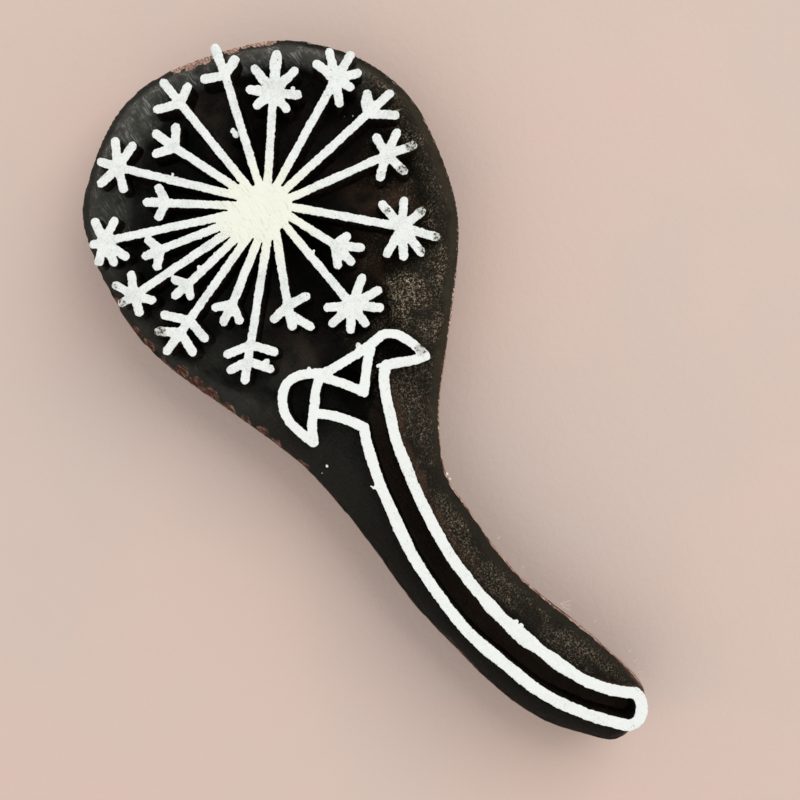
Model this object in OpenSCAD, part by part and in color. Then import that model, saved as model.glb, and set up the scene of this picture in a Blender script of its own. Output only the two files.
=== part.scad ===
// Wooden textile printing block, in millimetres.
// A dandelion clock stands in relief on a paddle-shaped block, with a white coat on its lines.
// +Z points out of the printing face, and the flat back lies on z = 0.
// The long way of the block is +Y, with the flower at the +Y end, and the origin is under the
// middle of the block's outline.

/* [Block] */
// Length of the block, from the flower's top to the foot of the stem
block_l = 149.7; // [120:0.1:190]
// Height of the printing face above the back
block_h = 25; // [18:0.5:45]
// Depth of the carved ground below the printing face
ground_drop = 8.5; // [7:0.5:12]
// Gap between the flower and the edge of its carved ground
ground_clear = 0.6; // [0.3:0.1:1.2]
// Height of the sawn edge above the carved ground
rim_rise = 0.5; // [0.25:0.25:1.5]
// Height of the margin's inner edge above the carved ground
margin_rise = 4.5; // [2:0.5:5.5]

/* [Flower] */
// Radius of the round middle of the flower
hub_r = 4.7; // [4:0.1:6.5]
// Width of a ray
ray_w = 1.5; // [1:0.1:2.2]
// Width of the short arms at the end of a ray
arm_w = 1.6; // [1:0.1:2.2]

/* [Stem] */
// Width of the left rail at its top
left_rail_w = 1.9; // [1.2:0.1:2.6]
// Width of the right rail at its top
right_rail_w = 1.9; // [1.2:0.1:2.6]
// Width of both rails at the foot of the stem
foot_w = 2.1; // [1.4:0.1:3]
// Width of the lines of the leaves
leaf_w = 1.7; // [1.2:0.1:2.4]

/* [Coat] */
// Thickness of the white coat on the printing lines
coat_t = 0.3; // [0.1:0.05:0.8]

/* [Hidden] */
// Angle by which the figure leans to the left of upright in the drawing below
lean = 36;
// Points along one span of a curve
span_n = 3;
// Straight sides that make up a round line end
cap_n = 8;
// Straight sides of a round
round_n = 48;
// Direction from the flower's middle in which its round ground starts, and how far round that goes
round_from = -87;
round_turn = 311;

WOOD = "#2c241c";
LINE_WOOD = "#41301f";
COAT = "#ecefe6";

// Levels above the back
ground_z = block_h - ground_drop;
rim_z = ground_z + rim_rise;
margin_z = ground_z + margin_rise;
coat_z = block_h - coat_t;

// The drawing below is as long as the block of the photo, and block_l scales it.
// Outline of the block round the flower's middle, clockwise from the top as the figure leans.
// Each row is x, y and the width of the margin that falls to the edge there.
OUTLINE = [
    [-3.1, 31.8, 2], [4, 32.6, 2], [12, 31.2, 2], [19.5, 28, 2.2], [26.5, 22.3, 2.5],
    [31, 14.5, 2.8], [34.8, 4, 3], [35.7, -4, 3.2], [34.9, -14, 3.2], [33.5, -25, 3.2],
    [32.1, -36, 4.4], [33.3, -47.6, 5.2], [37.7, -54.4, 4.9], [43.7, -63.1, 4.2], [50.6, -70, 4.3],
    [60.2, -77.5, 3.6], [67.1, -83.7, 2.2], [69.9, -87.5, 1.2], [70.2, -91, 1], [68.6, -94.2, 1],
    [64.6, -97.2, 1.4], [59.5, -96.4, 2.2], [51, -93.6, 2.6], [43, -88.2, 3], [35.8, -81.2, 3],
    [27.4, -72.5, 3], [18.4, -60.2, 3.2], [11.6, -51.8, 3.4], [5, -45.2, 3.6], [-6.8, -36.5, 3.4],
    [-17.5, -28.8, 3], [-24.6, -21.9, 2.6], [-29.4, -13.8, 2.2], [-32.5, -7.1, 2], [-34.3, 1, 2],
    [-31.4, 11.8, 2], [-26.8, 20.2, 2], [-19.6, 26, 2], [-10.6, 29.7, 2]
];

// Edge of the carved ground round the leaves and the stem, clockwise from the right leaf. It runs
// out past the edge of the block at the foot of the stem.
GROUND = [
    [28.2, -22.2], [31.1, -26.4], [28.8, -28.8], [25.6, -29.3], [23.8, -31.4], [24.7, -37],
    [25.8, -41.4], [27.5, -45.7], [29.9, -51.4], [35, -60.7], [39.8, -66.9], [44.9, -72.5],
    [51, -77.4], [57.9, -82.3], [62.9, -84.4], [67.4, -84.6], [71.6, -86.4], [72.2, -91], [70.2, -95.8],
    [65.4, -94.9], [57.6, -92.5], [49.4, -88.5], [42.5, -83.1], [35.8, -77.1], [29.9, -70], [25.1, -63],
    [21.8, -55.4], [19.5, -50.1], [17.9, -45.5], [16.6, -41.4], [14.2, -39.7], [11.8, -39.7], [11.1, -42],
    [9.2, -43.8], [6.4, -42.4], [3.3, -39.3], [1.8, -36]
];

// Rays of the flower. Each row is the direction and reach of the knot where the arms meet, the
// sideways shift of the ray's root at the hub, and the arms: direction, length and, where an arm
// leaves the ray below the knot, how far below.
SEEDS = [
    [85, 21.2, -0.5, [[85, 7.7], [128, 6.2], [46, 6.2], [172, 5], [-5, 5.1], [-142, 4.5], [-51, 4.5]]],
    [61, 27, 0, [[103, 5.7], [58, 5.7], [14, 4.8], [-30, 3.8], [-82, 5.2], [142, 5.1]]],
    [42.6, 25.6, 0, [[92, 4.4], [43, 6.1], [-3, 5.7]]],
    [24, 24.3, 0, [[119, 4.4], [65, 5.2], [20, 5.9], [-42, 5], [-106, 4.9]]],
    [-7, 25.2, 1.5, [[131, 6.2], [86, 5.5], [39, 5.3], [-16, 7.1], [-53, 6.4], [-87, 6], [-119, 6.3]]],
    [-26, 14.4, 1.6, [[36, 3.5], [-6, 5.4], [-46, 4.9], [-82, 4.4]]],
    [-47, 23.4, 1.3, [[69, 6], [29, 6.2], [-5, 5.9], [-53, 4.9], [-93, 5.2], [-136, 5.6], [-174, 5.2]]],
    [-75.6, 17.8, 1.7, [[27, 4.5], [-136, 4.2], [-78, 4.5], [-30, 5.2, -1.5]]],
    [-95.7, 27.3, 1.6, [[-158, 5.2, 2.9], [-16, 5.2, 2.9], [-152, 4.3], [-20, 5], [-99, 4.3]]],
    [-108, 17.8, 1.1, [[-169, 3.9], [-117, 4.4], [-67, 4]]],
    [-124, 26.6, 0.6, [[168, 5.3, 2.7], [-49, 5, 2.7], [177, 4.7], [-126, 4.9], [-58, 4.9]]],
    [-135.3, 18.9, 0.3, [[163, 3.3], [-139, 4], [-81, 3]]],
    [-146.4, 27.9, -0.2, [[97, 4.6], [150, 4.5], [-149, 3.3], [-72, 3.9], [-14, 4.1]]],
    [-159, 19.8, 0, [[143, 3.4], [-156, 3.7], [-101, 3.9]]],
    [-168.8, 29.2, -0.4, [[115, 4.6], [63, 4.9], [-164, 2.7], [-104, 4.6], [-65, 4.9], [-35, 5.4]]],
    [175.8, 17.5, -0.6, [[116, 3.8], [178, 4.2], [-118, 3.6]]],
    [163.5, 27.2, -1.4, [[97, 5.4], [56, 5.4], [164, 4], [-136, 5], [-77, 4.8]]],
    [144.7, 19.4, -0.7, [[88, 4.5], [144, 5], [-163, 4.4]]],
    [127.8, 24.3, -0.5, [[129, 5.5], [66, 4], [-165, 5.1]]],
    [105.8, 25.2, -0.6, [[110, 6], [58, 4.1], [-169, 4.4]]]
];

// Middle lines of the leaves and the stem
LEFT_LEAF_BACK = [
    [10.3, -29.4], [6.8, -29.7], [4.5, -31], [3.6, -33], [3.6, -35.5], [4.7, -38], [6.8, -40.1], [9, -41.9]
];
LEFT_LEAF_FRONT = [[10.3, -30], [9.5, -32.4], [9.2, -35.5], [8.8, -38.9], [9.2, -41.8]];
NECK = [[9.2, -36.7], [11.9, -36.9], [15.1, -37.8], [18.2, -39.1]];
LEFT_RAIL = [
    [18.2, -39.1], [18.5, -41.2], [19.6, -45], [21.1, -49.5], [23.4, -54.7], [26.8, -62], [31.3, -68.9],
    [36.9, -76], [43.6, -81.8], [50.3, -87], [58.3, -90.8], [65.9, -92.9]
];
RIGHT_LEAF_TOP = [
    [10.8, -29.5], [13.3, -28.1], [16.4, -26.2], [19.3, -24.3], [21.4, -22.5], [23.2, -22.3],
    [24.7, -22.7], [27, -24.1], [29.3, -26.3]
];
RIGHT_LEAF_UNDER = [[29.3, -26.3], [27.2, -27], [24.5, -27.4], [22.1, -28]];
RIGHT_RAIL = [
    [22.1, -28], [21.8, -29.9], [22, -32.9], [23, -37.4], [24.1, -41.9], [25.9, -46.4], [28.3, -52.2],
    [33.4, -61.7], [38.3, -68.2], [43.5, -74], [49.7, -79.1], [56.8, -84.1], [62.3, -86.3], [67.1, -87]
];
STEM_FOOT = [[67.1, -87], [67.8, -87.8], [68.2, -89.2], [68.1, -90.7], [67.4, -92.1], [65.9, -92.9]];
MIDDLE_LEAF_FRONT = [[19.4, -24.8], [18.7, -28.1], [18.4, -30.4], [18.2, -32.9]];
MIDDLE_LEAF_BACK = [[18.2, -32.9], [15.6, -31.7], [13, -30.8], [10.4, -30]];

function direction(a) = [cos(a), sin(a)];
function leftward(a) = [-sin(a), cos(a)];

// Smooth curve through b and c, with a before them and d after them
function span(a, b, c, d, t) =
    b + (c - a) * t / 2 + (2 * a - 5 * b + 4 * c - d) * t * t / 2
    + (3 * b - a - 3 * c + d) * t * t * t / 2;
function ring(p) = let (n = len(p)) [
    for (i = [0:n - 1]) for (j = [0:span_n - 1])
        span(p[(i + n - 1) % n], p[i], p[(i + 1) % n], p[(i + 2) % n], j / span_n)
];
function curve(p) = let (last = len(p) - 1) concat([
    for (i = [0:last - 1]) for (j = [0:span_n - 1])
        span(p[max(i - 1, 0)], p[i], p[i + 1], p[min(i + 2, last)], j / span_n)
], [p[last]]);

// Heading of a path at one of its points, and its outline as a line with round or square ends
function heading(p, i) = let (d = p[min(i + 1, len(p) - 1)] - p[max(i - 1, 0)]) atan2(d.y, d.x);
function round_end(at, a, w) =
    [for (k = [1:cap_n - 1]) at + w / 2 * direction(a + 90 - 180 * k / cap_n)];
function band(p, w0, w1, round_start = true, round_finish = true) = let (
    last = len(p) - 1,
    half = [for (i = [0:last]) leftward(heading(p, i)) * (w0 + (w1 - w0) * i / last) / 2]
) concat(
    [for (i = [0:last]) p[i] + half[i]],
    round_finish ? round_end(p[last], heading(p, last), w1) : [],
    [for (i = [last:-1:0]) p[i] - half[i]],
    round_start ? round_end(p[0], heading(p, 0) + 180, w0) : []
);

// Scale of the drawing
function upright(p) = [p.x * cos(lean) + p.y * sin(lean), p.y * cos(lean) - p.x * sin(lean)];
drawn = [for (p = ring(OUTLINE)) upright(p).y];
k = block_l / (max(drawn) - min(drawn));

// Block's edge, and the inner edge of its margin
rim = ring(OUTLINE * k);
rim_n = len(rim);
edge = [for (p = rim) [p.x, p.y]];
function inward(i) =
    let (d = edge[(i + 1) % rim_n] - edge[(i + rim_n - 1) % rim_n]) [d.y, -d.x] / norm(d);
crest = [for (i = [0:rim_n - 1]) edge[i] + inward(i) * rim[i].z];

// Upright edge, whose middle is the origin
stood = [for (p = edge) upright(p)];
function middle(v) = (min(v) + max(v)) / 2;
hub_at = -[middle([for (p = stood) p.x]), middle([for (p = stood) p.y])];

// Knot and root of a ray, and the start and tip of one of its arms
function knot(s) = s[1] * k * direction(s[0]);
function root(s) = s[2] * k * leftward(s[0]);
function arm_start(s, arm) = let (back = root(s) - knot(s))
    knot(s) + (len(arm) > 2 ? arm[2] * k * back / norm(back) : [0, 0]);
function arm_tip(s, arm, shorter = 0) = arm_start(s, arm) + (arm[1] * k - shorter) * direction(arm[0]);
ground_r = max([for (s = SEEDS) for (arm = s[3]) norm(arm_tip(s, arm))]) + ground_clear;

function seed_name(i) = str("seed_ray_", i < 9 ? "0" : "", i + 1);

// Brings what is drawn round the flower's middle to its place on the block
module placed() translate(hub_at) rotate(-lean) children();

// Triangles across the block between its right side and its left side
flat = concat(
    [for (i = [1:rim_n - 1]) if (i + 1 < rim_n - i) [i, i + 1, rim_n - i]],
    [for (i = [0:rim_n - 1]) if (i + 1 < rim_n - i - 1) [i + 1, rim_n - i - 1, (rim_n - i) % rim_n]]
);

module blank() {
    n = rim_n;
    polyhedron(
        points = concat(
            [for (p = edge) [p.x, p.y, 0]],
            [for (p = edge) [p.x, p.y, rim_z]],
            [for (p = crest) [p.x, p.y, margin_z]]
        ),
        faces = concat(
            [for (t = flat) [t[2], t[1], t[0]]],
            [for (t = flat) [for (i = t) 2 * n + i]],
            [for (k = [0, n]) for (i = [0:n - 1]) [k + i, k + n + (i + 1) % n, k + n + i]],
            [for (k = [0, n]) for (i = [0:n - 1]) [k + i, k + (i + 1) % n, k + n + (i + 1) % n]]
        )
    );
}

module ground_shape() polygon(concat(
    curve(GROUND * k),
    [for (k = [0:round_n]) ground_r * direction(round_from - round_turn * k / round_n)]
));

module block_body() color(WOOD) placed() difference() {
    blank();
    translate([0, 0, ground_z]) linear_extrude(block_h) ground_shape();
}

// A raised line stands on the carved ground, and the coat lies on top of it
module standing() color(LINE_WOOD) placed()
    translate([0, 0, ground_z]) linear_extrude(coat_z - ground_z) children();

module coated() color(COAT) placed() translate([0, 0, coat_z]) linear_extrude(coat_t) children();

module hub_shape() circle(r = hub_r, $fn = round_n);

module seed_shape(s) {
    polygon(band([root(s), knot(s)], ray_w, ray_w));
    for (arm = s[3]) polygon(band([arm_start(s, arm), arm_tip(s, arm, arm_w / 2)], arm_w, arm_w));
}

module left_leaf_shape() {
    polygon(band(curve(LEFT_LEAF_BACK * k), leaf_w, leaf_w));
    polygon(band(curve(LEFT_LEAF_FRONT * k), leaf_w, leaf_w));
}

module right_leaf_shape() {
    polygon(band(curve(RIGHT_LEAF_TOP * k), leaf_w, leaf_w, round_start = false));
    polygon(band(curve(RIGHT_LEAF_UNDER * k), leaf_w, right_rail_w));
}

module middle_leaf_shape() {
    polygon(band(curve(MIDDLE_LEAF_FRONT * k), leaf_w, leaf_w, round_start = false));
    polygon(band(curve(MIDDLE_LEAF_BACK * k), leaf_w, leaf_w, round_finish = false));
}

module neck_shape() polygon(band(curve(NECK * k), leaf_w, left_rail_w, round_start = false));

module left_rail_shape() polygon(band(curve(LEFT_RAIL * k), left_rail_w, foot_w, round_start = false));

module right_rail_shape() polygon(band(curve(RIGHT_RAIL * k), right_rail_w, foot_w, round_start = false));

module stem_foot_shape()
    polygon(band(curve(STEM_FOOT * k), foot_w, foot_w, round_start = false, round_finish = false));

module stem_shape() {
    left_leaf_shape();
    right_leaf_shape();
    middle_leaf_shape();
    neck_shape();
    left_rail_shape();
    right_rail_shape();
    stem_foot_shape();
}

module flower_hub() standing() hub_shape();

// A ray gives way to the hub and to the ray before it
module seed_ray(i) standing() difference() {
    seed_shape(SEEDS[i]);
    hub_shape();
    seed_shape(SEEDS[(i + len(SEEDS) - 1) % len(SEEDS)]);
}

module left_leaf() standing() left_leaf_shape();

module right_leaf() standing() difference() {
    right_leaf_shape();
    left_leaf_shape();
}

module middle_leaf() standing() difference() {
    middle_leaf_shape();
    left_leaf_shape();
    right_leaf_shape();
}

module neck_line() standing() difference() {
    neck_shape();
    left_leaf_shape();
}

module stem_left_rail() standing() difference() {
    left_rail_shape();
    neck_shape();
}

module stem_right_rail() standing() difference() {
    right_rail_shape();
    right_leaf_shape();
}

module stem_end() standing() difference() {
    stem_foot_shape();
    left_rail_shape();
    right_rail_shape();
}

module coat_flower() {
    coated() hub_shape();
    for (s = SEEDS) coated() seed_shape(s);
}

module coat_stem() coated() stem_shape();

block_body();
flower_hub();
for (i = [0:len(SEEDS) - 1]) seed_ray(i);
left_leaf();
middle_leaf();
right_leaf();
neck_line();
stem_left_rail();
stem_right_rail();
stem_end();
coat_flower();
coat_stem();
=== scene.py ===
"""Looks of a hand-carved wooden block for printing cloth, with a seed-head flower in relief."""

import logging
import math
from dataclasses import dataclass, field
from enum import Enum
from typing import Callable, Optional, Sequence, Union

import bpy
import numpy as np
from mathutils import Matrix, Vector

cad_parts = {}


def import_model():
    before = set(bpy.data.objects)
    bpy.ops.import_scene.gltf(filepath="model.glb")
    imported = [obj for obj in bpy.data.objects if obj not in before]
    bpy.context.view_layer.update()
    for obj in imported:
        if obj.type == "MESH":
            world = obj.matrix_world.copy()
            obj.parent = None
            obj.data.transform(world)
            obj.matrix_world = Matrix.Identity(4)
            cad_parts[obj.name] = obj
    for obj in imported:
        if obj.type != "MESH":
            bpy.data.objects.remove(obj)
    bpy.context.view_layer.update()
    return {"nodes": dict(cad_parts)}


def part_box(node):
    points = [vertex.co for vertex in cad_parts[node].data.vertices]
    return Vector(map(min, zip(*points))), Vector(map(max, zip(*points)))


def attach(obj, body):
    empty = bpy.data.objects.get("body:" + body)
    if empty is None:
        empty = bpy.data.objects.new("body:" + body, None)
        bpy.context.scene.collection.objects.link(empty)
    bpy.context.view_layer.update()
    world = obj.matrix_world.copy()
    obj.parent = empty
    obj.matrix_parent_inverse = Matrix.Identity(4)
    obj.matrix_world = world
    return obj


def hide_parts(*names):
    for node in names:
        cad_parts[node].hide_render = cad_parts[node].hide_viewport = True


LOG = logging.getLogger("printing_block")
MM = 0.001
# Usual heights of the block's upper edge and of its carved ground, in millimetres
EDGE_HEIGHT = 17.0
GROUND_HEIGHT = 16.5
Triple = tuple[float, float, float]
Colour = Triple
Path = Sequence[tuple[float, float]]
# Rows of pixel x, pixel y, width in pixels and strength
Marks = Sequence[tuple[float, float, float, float]]
Piece = bpy.types.Object
Material = bpy.types.Material
Node = bpy.types.Node
Tree = bpy.types.NodeTree
Socket = bpy.types.NodeSocket
Outputs = bpy.types.NodeOutputs
Value = Union[Socket, float, int, Sequence[float]]


class Slot(Enum):
    """Material slots."""

    BLOCK = "block_wood"
    LINE = "line_wood"
    COAT = "white_coat"


@dataclass(frozen=True)
class Drawing:
    """Flat frame of the figure: millimetres round the flower's middle, leaning as it was seen."""

    hub: tuple[float, float] = (-0.8895, 42.1001)
    lean: float = math.radians(36.0)
    face: float = 25.0
    eye: float = 280.0
    pixel: float = 0.18
    hub_pixel: tuple[float, float] = (263.0, 210.0)
    middle_pixel: tuple[float, float] = (400.0, 400.0)

    def turn(self) -> tuple[float, float]:
        """Cosine and sine of the lean."""
        return math.cos(self.lean), math.sin(self.lean)

    def flat(self, co: np.ndarray) -> np.ndarray:
        """Turn points of the block into drawing points.

        Args:
            co: Points in metres, one row each.

        Returns:
            Drawing x, drawing y and height, in millimetres.
        """
        p = co / MM - np.array([self.hub[0], self.hub[1], 0.0])
        c, s = self.turn()
        return np.stack([p[:, 0] * c - p[:, 1] * s, p[:, 0] * s + p[:, 1] * c, p[:, 2]], 1)

    def solid(self, p: np.ndarray) -> np.ndarray:
        """Turn drawing points into points of the block.

        Args:
            p: Drawing x, drawing y and height, in millimetres.

        Returns:
            Points in metres, one row each.
        """
        c, s = self.turn()
        x = p[:, 0] * c + p[:, 1] * s + self.hub[0]
        y = p[:, 1] * c - p[:, 0] * s + self.hub[1]
        return np.stack([x, y, p[:, 2]], 1) * MM

    def place(self, x: float, y: float, z: float) -> Vector:
        """Turn one drawing point in millimetres into a point of the block in metres."""
        c, s = self.turn()
        return Vector((x * c + y * s + self.hub[0], y * c - x * s + self.hub[1], z)) * MM

    def seen(self, px: float, py: float, z: float) -> tuple[float, float]:
        """Drawing point at a height that shows at a pixel.

        Args:
            px: Pixel from the left.
            py: Pixel from the top.
            z: Height in millimetres.

        Returns:
            Drawing x and y in millimetres.
        """
        grow = (self.eye + self.face - z) / self.eye * self.pixel
        mx, my = self.middle_pixel
        x = (px - mx) * grow + (mx - self.hub_pixel[0]) * self.pixel
        y = (my - py) * grow - (my - self.hub_pixel[1]) * self.pixel
        return x, y


DRAWING = Drawing()


def lumps(p: np.ndarray, size: Union[float, Sequence[float]], seed: int) -> np.ndarray:
    """Smooth repeatable noise.

    Args:
        p: Points, one row each.
        size: Width of a lump, or its width along each axis.
        seed: Which noise.

    Returns:
        A value from -1 to 1 for each point.
    """
    q = p / np.asarray(size, float)
    base = np.floor(q).astype(np.int64)
    f = q - base
    f = f * f * (3.0 - 2.0 * f)
    out = np.zeros(len(p))
    for dx in (0, 1):
        for dy in (0, 1):
            for dz in (0, 1):
                n = (base[:, 0] + dx) * 374761393 + (base[:, 1] + dy) * 668265263
                n = n + (base[:, 2] + dz) * 1440662683 + seed * 974634777
                n = (n ^ (n >> 13)) * 1274126177
                n = (n ^ (n >> 16)) & 0xFFFF
                w = np.where(dx, f[:, 0], 1 - f[:, 0]) * np.where(dy, f[:, 1], 1 - f[:, 1])
                out += w * np.where(dz, f[:, 2], 1 - f[:, 2]) * (n / 32767.5 - 1.0)
    return out


def step(x: np.ndarray, low: float, high: float) -> np.ndarray:
    """Smooth step of values from 0 at low to 1 at high."""
    t = np.clip((x - low) / (high - low), 0.0, 1.0)
    return t * t * (3.0 - 2.0 * t)


def to_path(p: np.ndarray, path: Path, closed: bool = False) -> np.ndarray:
    """Distance from points to a path, with its side.

    Args:
        p: Points whose first two columns count.
        path: Corners of the path.
        closed: Whether the path ends where it starts.

    Returns:
        The distance, positive on the right of the path and negative on its left.
    """
    corners = list(path) + ([path[0]] if closed else [])
    best = np.full(len(p), 1e9)
    side = np.ones(len(p))
    for a, b in zip(corners, corners[1:]):
        d = np.array(b) - np.array(a)
        rel = p[:, :2] - np.array(a)
        t = np.clip(rel @ d / (d @ d), 0.0, 1.0)
        gap = np.linalg.norm(rel - t[:, None] * d, axis=1)
        near = gap < best
        side = np.where(near, np.sign(rel[:, 1] * -d[0] + rel[:, 0] * d[1]), side)
        best = np.where(near, gap, best)
    return best * side


class Bench:
    """Small workshop of mesh steps on one piece."""

    def __init__(self, piece: Piece) -> None:
        """Take a piece onto the bench."""
        self.piece = piece

    @staticmethod
    def clear() -> None:
        """Deselect everything."""
        bpy.ops.object.select_all(action="DESELECT")

    @classmethod
    def copy_of(cls, node: Piece, name: str) -> "Bench":
        """Copy a CAD node's shape into a new piece and merge its loose triangles.

        Args:
            node: The CAD node's object.
            name: Name of the new piece.

        Returns:
            The bench with the new piece on it.
        """
        piece = bpy.data.objects.new(name, node.data.copy())
        piece.data.name = name
        piece.data.materials.clear()
        bpy.context.scene.collection.objects.link(piece)
        bench = cls(piece)
        bench.edit(lambda: bpy.ops.mesh.remove_doubles(threshold=1e-6))
        return bench

    @classmethod
    def last_added(cls, name: str) -> "Bench":
        """Take the object that is active.

        Args:
            name: Name that it gets.

        Returns:
            The bench with the object on it.
        """
        piece = bpy.context.object
        piece.name = name
        piece.data.name = name
        return cls(piece)

    @classmethod
    def primitive(cls, name: str, add: Callable[..., object], **settings: object) -> "Bench":
        """Add a primitive with nothing else selected.

        Args:
            name: Name that it gets.
            add: The operator that adds it.
            **settings: The operator's values.

        Returns:
            The bench with the primitive on it.
        """
        cls.clear()
        add(**settings)
        return cls.last_added(name)

    def join(self, others: Sequence["Bench"], name: str) -> "Bench":
        """Join other pieces to this one.

        Args:
            others: The benches that hold them.
            name: Name of the joined piece.

        Returns:
            The bench with the joined piece on it.
        """
        self.pick()
        for one in others:
            one.piece.select_set(True)
        bpy.ops.object.join()
        return self.last_added(name)

    def pick(self) -> None:
        """Make the piece the only selected and active object."""
        self.clear()
        self.piece.select_set(True)
        bpy.context.view_layer.objects.active = self.piece

    def edit(self, *steps: Callable[[], object]) -> None:
        """Run operators on the whole mesh in edit mode.

        Args:
            *steps: Functions that call one operator each.
        """
        self.pick()
        bpy.ops.object.mode_set(mode="EDIT")
        bpy.ops.mesh.select_all(action="SELECT")
        for one in steps:
            one()
        bpy.ops.object.mode_set(mode="OBJECT")

    def modify(self, kind: str, **settings: object) -> None:
        """Add a modifier and apply it.

        Args:
            kind: Type of the modifier.
            **settings: Its values.
        """
        self.pick()
        modifier = self.piece.modifiers.new(kind.title(), kind)
        for key, value in settings.items():
            setattr(modifier, key, value)
        bpy.ops.object.modifier_apply(modifier=modifier.name)

    def remesh(self, grid: float) -> None:
        """Rebuild the mesh on an even grid, in millimetres."""
        self.modify("REMESH", mode="VOXEL", voxel_size=grid * MM)

    def settle(self) -> None:
        """Apply the piece's place, turn and scale to its mesh."""
        self.pick()
        bpy.ops.object.transform_apply(location=True, rotation=True, scale=True)

    @staticmethod
    def read(rows: bpy.types.bpy_prop_collection, key: str) -> np.ndarray:
        """Read a vector of each row of mesh data.

        Args:
            rows: The mesh data.
            key: Which vector.

        Returns:
            The vectors, one row each.
        """
        values = np.zeros(len(rows) * 3, np.float32)
        rows.foreach_get(key, values)
        return values.reshape(-1, 3).astype(float)

    def points(self) -> np.ndarray:
        """Give the mesh's points in metres."""
        return self.read(self.piece.data.vertices, "co")

    def normals(self) -> np.ndarray:
        """Give the directions that the mesh's points face."""
        return self.read(self.piece.data.vertex_normals, "vector")

    def move(self, co: np.ndarray) -> None:
        """Put the mesh's points at new places, in metres."""
        self.piece.data.vertices.foreach_set("co", co.astype(np.float32).ravel())
        self.piece.data.update()

    def paint(self, name: str, values: np.ndarray) -> None:
        """Store one value for each point of the mesh, as a named attribute."""
        layer = self.piece.data.attributes.new(name, "FLOAT", "POINT")
        layer.data.foreach_set("value", values.astype(np.float32))

    def smooth_shade(self, angle: float = 40.0) -> None:
        """Shade smoothly across edges flatter than an angle in degrees."""
        self.pick()
        bpy.ops.object.shade_smooth_by_angle(angle=math.radians(angle))

    def dress(self, material: Material, slot: Slot) -> None:
        """Give the piece its finish.

        Args:
            material: The finish.
            slot: The slot that it belongs to; not used.
        """
        self.piece.data.materials.clear()
        self.piece.data.materials.append(material)
        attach(self.piece, "root")


class Graph:
    """Adds nodes to a tree and joins them."""

    def __init__(self, tree: Tree) -> None:
        """Start on a tree."""
        self.tree = tree

    def add(self, kind: str, inputs: Optional[dict] = None, **props: object) -> Node:
        """Add a node.

        Args:
            kind: Type of the node.
            inputs: Values or sockets for its inputs, by name or number.
            **props: Its own settings.

        Returns:
            The node.
        """
        node = self.tree.nodes.new(kind)
        for key, value in props.items():
            setattr(node, key, value)
        for key, value in (inputs or {}).items():
            self.feed(node.inputs[key], value)
        return node

    def feed(self, socket: Socket, value: Value) -> None:
        """Link a socket into an input, or set it.

        Args:
            socket: The input.
            value: The socket or the value that it gets.
        """
        if isinstance(value, Socket):
            self.tree.links.new(value, socket)
        else:
            socket.default_value = value

    def math(self, operation: str, a: Value, b: Value = 0.0, clamp: bool = False) -> Socket:
        """Work out one value from two."""
        return self.add("ShaderNodeMath", {0: a, 1: b}, operation=operation, use_clamp=clamp).outputs[0]

    def plus(self, a: Value, b: Value, clamp: bool = False) -> Socket:
        """Sum of two values."""
        return self.math("ADD", a, b, clamp)

    def minus(self, a: Value, b: Value) -> Socket:
        """What is left of one value after another."""
        return self.math("SUBTRACT", a, b)

    def times(self, a: Value, b: Value, clamp: bool = False) -> Socket:
        """Product of two values."""
        return self.math("MULTIPLY", a, b, clamp)

    def most(self, a: Value, b: Value) -> Socket:
        """Greater of two values."""
        return self.math("MAXIMUM", a, b)

    def between(self, value: Value, low: float, high: float) -> Socket:
        """Smooth step of a value from 0 at low to 1 at high."""
        inputs = {"Value": value, "From Min": low, "From Max": high}
        return self.add("ShaderNodeMapRange", inputs, interpolation_type="SMOOTHSTEP").outputs[0]

    def mix(self, share: Value, a: Value, b: Value) -> Socket:
        """Mix two colours.

        Args:
            share: How much of the second.
            a: First colour.
            b: Second colour.

        Returns:
            The mixed colour.
        """
        node = self.add("ShaderNodeMix", data_type="RGBA")
        self.feed(node.inputs[0], share)
        for socket, value in ((node.inputs[6], a), (node.inputs[7], b)):
            self.feed(socket, value if isinstance(value, Socket) else (*value, 1.0))
        return node.outputs[2]

    def stretched(self, vector: Socket, scale: Triple, turn: float = 0.0) -> Socket:
        """Scale a place, after turning it about the block's height."""
        inputs = {"Vector": vector, "Rotation": (0.0, 0.0, turn), "Scale": scale}
        return self.add("ShaderNodeMapping", inputs).outputs[0]

    def noise(self, vector: Socket, scale: float, detail: float = 4.0, rough: float = 0.55) -> Socket:
        """Cloudy noise from 0 to 1."""
        inputs = {"Vector": vector, "Scale": scale, "Detail": detail, "Roughness": rough}
        return self.add("ShaderNodeTexNoise", inputs).outputs[0]

    def attribute(self, name: str) -> Socket:
        """Value stored on the mesh."""
        return self.add("ShaderNodeAttribute", attribute_name=name).outputs["Fac"]


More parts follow.
